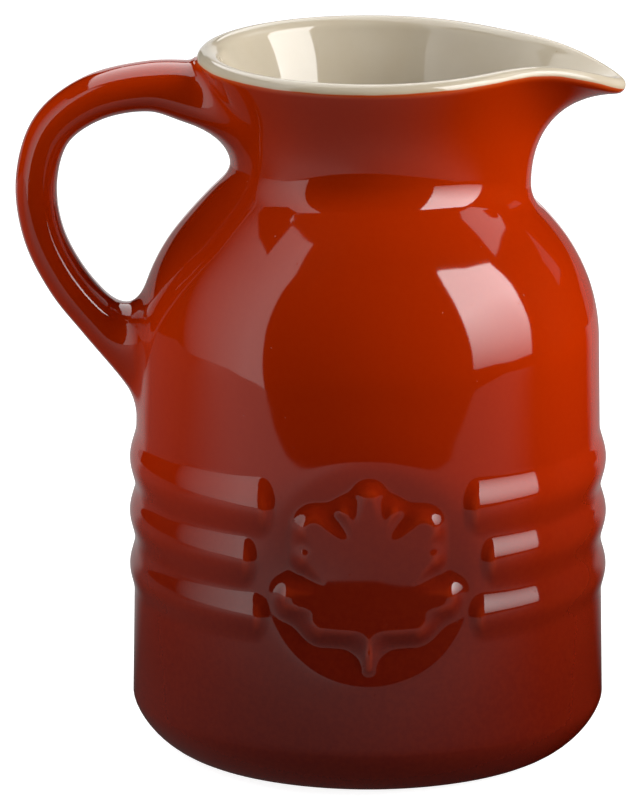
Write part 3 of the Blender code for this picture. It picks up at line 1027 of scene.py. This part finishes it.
class Finish:
    """A material being made: adds its nodes and wires them up."""

    def __init__(self, name):
        self.material = bpy.data.materials.new(name)
        self.material.use_nodes = True
        self.tree = self.material.node_tree
        self.tree.nodes.clear()

    def node(self, kind, settings=None, **sockets):
        """Add a node: its settings first, then each socket's value or link, by its name."""
        node = self.tree.nodes.new("ShaderNode" + kind)
        for name, value in (settings or {}).items():
            if name == "stops":
                self.set_stops(node.color_ramp, value)
            else:
                setattr(node, name, value)
        for name, value in sockets.items():
            socket = self.find(node, name)
            if isinstance(value, Reading):
                value = value.socket
            if isinstance(value, bpy.types.NodeSocket):
                self.tree.links.new(value, socket)
            else:
                socket.default_value = value
        return node

    def find(self, node, name):
        """The socket that is in use under that name, with _ for a space; input_N is the socket at
        place N.
        """
        wanted = name.replace("_", " ").lower()
        for socket in node.inputs:
            if socket.enabled and socket.name.lower() == wanted:
                return socket
        index = int(wanted.removeprefix("input "))
        return node.inputs[index]

    def set_stops(self, ramp, stops):
        for index, (position, colour) in enumerate(stops):
            if index >= len(ramp.elements):
                ramp.elements.new(position)
            ramp.elements[index].position = position
            ramp.elements[index].color = (*colour, 1.0)

    def math(self, operation, first, second=0.0):
        node = self.node("Math", {"operation": operation}, input_0=first, input_1=second)
        return Reading(self, node.outputs[0])

    def smooth(self, value, low, high, to_low=0.0, to_high=1.0):
        """Ease from to_low to to_high as value goes from low to high."""
        node = self.node("MapRange", {"interpolation_type": "SMOOTHSTEP"}, value=value,
                         from_min=low, from_max=high, to_min=to_low, to_max=to_high)
        return Reading(self, node.outputs[0])

    def noise(self, place, scale, detail=2.0, roughness=0.5):
        node = self.node("TexNoise", vector=place, scale=scale, detail=detail,
                         roughness=roughness)
        return Reading(self, node.outputs["Fac"])

    def spots(self, place, scale):
        """Distance to the nearest of a scatter of points."""
        node = self.node("TexVoronoi", {"feature": "F1"}, vector=place, scale=scale)
        return Reading(self, node.outputs["Distance"])

    def attribute(self, name):
        node = self.node("Attribute", {"attribute_name": name})
        return Reading(self, node.outputs["Fac"])

    def mix(self, share, first, second):
        """Colour between first and second."""
        node = self.node("Mix", {"data_type": "RGBA"}, factor=share, a=first, b=second)
        return [socket for socket in node.outputs if socket.enabled][0]

    def ramp(self, value, stops):
        node = self.node("ValToRGB", {"stops": stops}, fac=value)
        return node.outputs["Color"]

    def place(self):
        return self.node("TexCoord").outputs["Object"]

    def height(self, place):
        return Reading(self, self.node("SeparateXYZ", vector=place).outputs["Z"])

    def bump(self, height, under=None):
        """Surface tilt from a height in metres."""
        sockets = {"height": height, "distance": 1.0, "strength": 1.0}
        if under is not None:
            sockets["normal"] = under
        return self.node("Bump", **sockets).outputs["Normal"]

    def glowing(self, shade, strength):
        return self.node("BsdfPrincipled", base_color=(0.0, 0.0, 0.0, 1.0),
                         specular_ior_level=0.0, emission_color=shade,
                         emission_strength=strength)

    def end(self, shader):
        output = self.node("OutputMaterial")
        self.tree.links.new(shader.outputs[0], output.inputs["Surface"])
        return self.material


def colour(red, green, blue):
    """A colour as a screen shows it, from 0 to 255, made linear."""
    shares = [part / 255.0 for part in (red, green, blue)]
    linear = [((part + 0.055) / 1.055) ** 2.4 if part > 0.04045 else part / 12.92
              for part in shares]
    return (*linear, 1.0)


def glaze_finish():
    """Red glaze outside, darkening downwards and with painted shade round the medallion, cream
    inside, and bare clay under the foot.
    """
    finish = Finish("red_and_cream_glaze")
    place = finish.place()
    height = finish.height(place) / MM
    below_cream = finish.attribute("below_cream")
    above_base = finish.attribute("above_base")
    bulging = finish.attribute("bulge")

    broad = finish.noise(place, BROAD_SCALE, detail=3.0)
    middle = finish.noise(place, MIDDLE_SCALE, detail=4.0)
    fine = finish.noise(place, FINE_SCALE, detail=3.0, roughness=0.6)
    flow = finish.noise(place, FLOW_SCALE)

    drift = (broad - 0.5) * OMBRE_DRIFT + (middle - 0.5) * OMBRE_FINE_DRIFT
    # Painted shade: the red is darkened round the medallion, over the dish and the leaf alike, by
    # moving it down the ombre
    medallion = (0.0, -WALL_RADIUS_HIGH * MM, MEDALLION_HEIGHT * MM)
    away = finish.node("VectorMath", {"operation": "DISTANCE"}, input_0=place, input_1=medallion)
    away = Reading(finish, away.outputs["Value"]) / MM
    painted_shade = finish.smooth(away, *MEDALLION_PAINTED_SHADE_SPREAD) * MEDALLION_PAINTED_SHADE
    level = (height + drift - painted_shade) / HEIGHT
    stops = [(z / HEIGHT, colour(*shade)[:3]) for z, shade in OMBRE]
    red = finish.ramp(level, stops)

    thin = finish.smooth(bulging, THIN_FROM, THIN_FULL)
    pooled = finish.smooth(bulging, -POOLED_FROM, -POOLED_FULL)
    red = finish.mix(thin * THIN_SHARE, red, colour(*THIN_RED))
    red = finish.mix(pooled * POOLED_SHARE, red, colour(*POOLED_RED))
    under_rim = finish.smooth(below_cream, 0.0, BREAK_WIDTH, 1.0, 0.0)
    red = finish.mix(under_rim * BREAK_SHARE, red, colour(*BREAK_RED))
    mottled = finish.smooth(fine, *MOTTLE_RANGE)
    red = finish.mix(mottled * MOTTLE_SHARE, red, colour(*MOTTLE_RED))

    cream = finish.mix(middle, colour(*CREAM_LIGHT), colour(*CREAM_DEEP))
    specks = finish.smooth(finish.spots(place, SPECK_SCALE), 0.0, SPECK_SIZE, 1.0, 0.0)
    cream = finish.mix(specks * SPECK_SHARE, cream, colour(*SPECK_BROWN))
    wavy = below_cream + (flow - 0.5) * CREAM_EDGE_WAVE + (middle - 0.5) * CREAM_EDGE_FINE_WAVE
    near_edge = finish.smooth(wavy, -CREAM_STAIN_WIDTH, 0.0)
    cream = finish.mix(near_edge * CREAM_STAIN_SHARE, cream, colour(*CREAM_STAIN))
    is_red = finish.smooth(wavy, -CREAM_EDGE_BLUR, CREAM_EDGE_BLUR)
    glaze = finish.mix(is_red, cream, red)

    clay_grain = finish.noise(place, CLAY_SCALE, detail=4.0, roughness=0.7)
    clay = finish.mix(clay_grain, colour(*CLAY_LIGHT), colour(*CLAY_DARK))
    glazed = finish.smooth(above_base + (flow - 0.5) * BASE_EDGE_WAVE, 0.0, BASE_EDGE_BLUR)
    surface = finish.mix(glazed, clay, glaze)

    ripple = finish.noise(place, RIPPLE_SCALE, detail=1.0)
    pinholes = finish.smooth(finish.spots(place, PINHOLE_SCALE), 0.0, PINHOLE_SIZE)
    soft = finish.bump(ripple * RIPPLE_HEIGHT)
    pitted = finish.bump(pinholes * PINHOLE_DEPTH, soft)
    rough_clay = clay_grain * (1.0 - glazed) * CLAY_GRAIN_HEIGHT
    normal = finish.bump(rough_clay, pitted)

    gloss = GLAZE_ROUGHNESS + (middle - 0.5) * GLAZE_ROUGHNESS_SPREAD
    roughness = gloss * glazed + CLAY_ROUGHNESS * (1.0 - glazed)
    shader = finish.node("BsdfPrincipled", base_color=surface, roughness=roughness,
                         ior=GLAZE_IOR, normal=normal)
    return finish.end(shader)


def floor_finish():
    finish = Finish("pale_floor")
    place = finish.place()
    grain = finish.noise(place, FLOOR_GRAIN_SCALE, detail=3.0)
    shade = finish.mix(grain, colour(*FLOOR_LIGHT), colour(*FLOOR_SHADE))
    shader = finish.node("BsdfPrincipled", base_color=shade, roughness=FLOOR_ROUGHNESS,
                         emission_color=(1.0, 1.0, 1.0, 1.0), emission_strength=FLOOR_GLOW)
    return finish.end(shader)


def table_finish():
    finish = Finish("table_top")
    place = finish.place()
    parts = finish.node("SeparateXYZ", vector=place)
    x = Reading(finish, parts.outputs["X"])
    y = Reading(finish, parts.outputs["Y"])
    away = (x * x + y * y) ** 0.5
    is_left = finish.smooth(x, *TABLE_LEFT)
    left = is_left * finish.smooth(y, *TABLE_LEFT_FADE, TABLE_LEFT_REST, 1.0)
    far_left = left * finish.smooth(away, *TABLE_LEFT_FAR)
    right = finish.smooth(y, *TABLE_RIGHT_FADE) * (1.0 - is_left)
    back = finish.smooth(y - finish.math("ABSOLUTE", x), *TABLE_BACK)
    glow = (left + right) * TABLE_GLOW + far_left * TABLE_GLOW_LEFT + back * TABLE_GLOW_BACK
    shade = finish.mix(glow, (0.0, 0.0, 0.0, 1.0), (1.0, 1.0, 1.0, 1.0))
    return finish.end(finish.glowing(shade, 1.0))


def glow_finish(name, strength, fade=None):
    """Even glow, or one that fades in one direction."""
    finish = Finish(name)
    glow = (1.0, 1.0, 1.0, 1.0)
    if fade is not None:
        direction, full, gone = fade
        along = finish.node("VectorMath", {"operation": "DOT_PRODUCT"}, input_0=finish.place(),
                            input_1=direction).outputs["Value"]
        share = finish.node("MapRange", value=along, from_min=gone, from_max=full)
        glow = finish.mix(share.outputs[0], (0.0, 0.0, 0.0, 1.0), glow)
    return finish.end(finish.glowing(glow, strength))


def make_floor():
    bpy.ops.object.select_all(action="DESELECT")
    bpy.ops.mesh.primitive_plane_add(size=FLOOR_SIZE)
    floor = bpy.context.object
    floor.name = "floor"
    floor.data.materials.append(floor_finish())
    floor.visible_glossy = False
    floor.visible_diffuse = False
    floor.visible_shadow = False


def make_card(name, corners, finish):
    """A card through the corners, which the camera itself doesn't see."""
    bpy.ops.object.select_all(action="DESELECT")
    bpy.ops.mesh.primitive_circle_add(vertices=len(corners), fill_type="NGON")
    card = bpy.context.object
    card.name = name
    set_points(card, np.array(corners) / MM)
    card.data.materials.append(finish)
    card.visible_camera = False
    card.visible_shadow = False
    return card


def towards(azimuth, elevation, distance=CARD_DISTANCE):
    """Place of a card's corner or a lamp from its direction as the jug sees it."""
    azimuth = math.radians(azimuth)
    elevation = math.radians(elevation)
    direction = Vector((math.sin(azimuth) * math.cos(elevation),
                        -math.cos(azimuth) * math.cos(elevation), math.sin(elevation)))
    return Vector(CARD_VIEWPOINT) + distance * direction


def make_lamp(name, direction, width, height, watts):
    """A soft box that lights the jug but doesn't mirror in it."""
    lamp = bpy.data.lights.new(name, "AREA")
    lamp.shape = "RECTANGLE"
    lamp.size = width
    lamp.size_y = height
    lamp.energy = watts
    item = bpy.data.objects.new(name, lamp)
    item.location = towards(*direction, LAMP_DISTANCE)
    aim = Vector(CARD_VIEWPOINT) - item.location
    item.rotation_euler = aim.to_track_quat("-Z", "Y").to_euler()
    item.visible_glossy = False
    bpy.context.scene.collection.objects.link(item)


def make_glow(name, strength, corners, fade):
    places = [towards(*corner) for corner in corners]
    return make_card(name, places, glow_finish(name + "_glow", strength, fade))


def make_studio():
    make_floor()
    for card in CARDS:
        make_glow(*card)
    make_glow(*BACK_BOX).visible_diffuse = False
    make_card("table_top", [(x, y, TABLE_DEPTH) for x, y in TABLE_OUTLINE], table_finish())
    square = ((-1.0, -1.0), (1.0, -1.0), (1.0, 1.0), (-1.0, 1.0))
    around = [(x * BOUNCE_REACH, y * BOUNCE_REACH, TABLE_DEPTH) for x, y in square]
    bounce = make_card("table_bounce", around, glow_finish("table_bounce_glow", BOUNCE_GLOW))
    bounce.visible_glossy = False
    for lamp in LAMPS:
        make_lamp(*lamp)
    world = bpy.data.worlds.new("studio")
    bpy.context.scene.world = world
    world.use_nodes = True
    background = world.node_tree.nodes["Background"]
    background.inputs["Color"].default_value = colour(*WORLD_COLOUR)
    background.inputs["Strength"].default_value = WORLD_STRENGTH
    world.cycles_visibility.glossy = False
    bpy.context.scene.view_settings.view_transform = "Standard"


def make_camera():
    lens = bpy.data.cameras.new("camera")
    lens.sensor_fit = "VERTICAL"
    lens.sensor_height = SENSOR_HEIGHT
    lens.lens = CAMERA_LENS
    lens.clip_end = CAMERA_REACH
    camera = bpy.data.objects.new("camera", lens)
    tilt = math.radians(CAMERA_TILT)
    camera.location = (CAMERA_SIDE, -CAMERA_DISTANCE * math.cos(tilt),
                       CAMERA_AIM + CAMERA_DISTANCE * math.sin(tilt))
    camera.rotation_euler = (0.5 * math.pi - tilt, 0.0, 0.0)
    bpy.context.scene.collection.objects.link(camera)
    bpy.context.scene.camera = camera


def dress_jug():
    jug = make_jug()
    jug.data.materials.append(glaze_finish())
    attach(jug, "root")
    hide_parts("jug")


make_camera()
make_studio()
dress_jug()
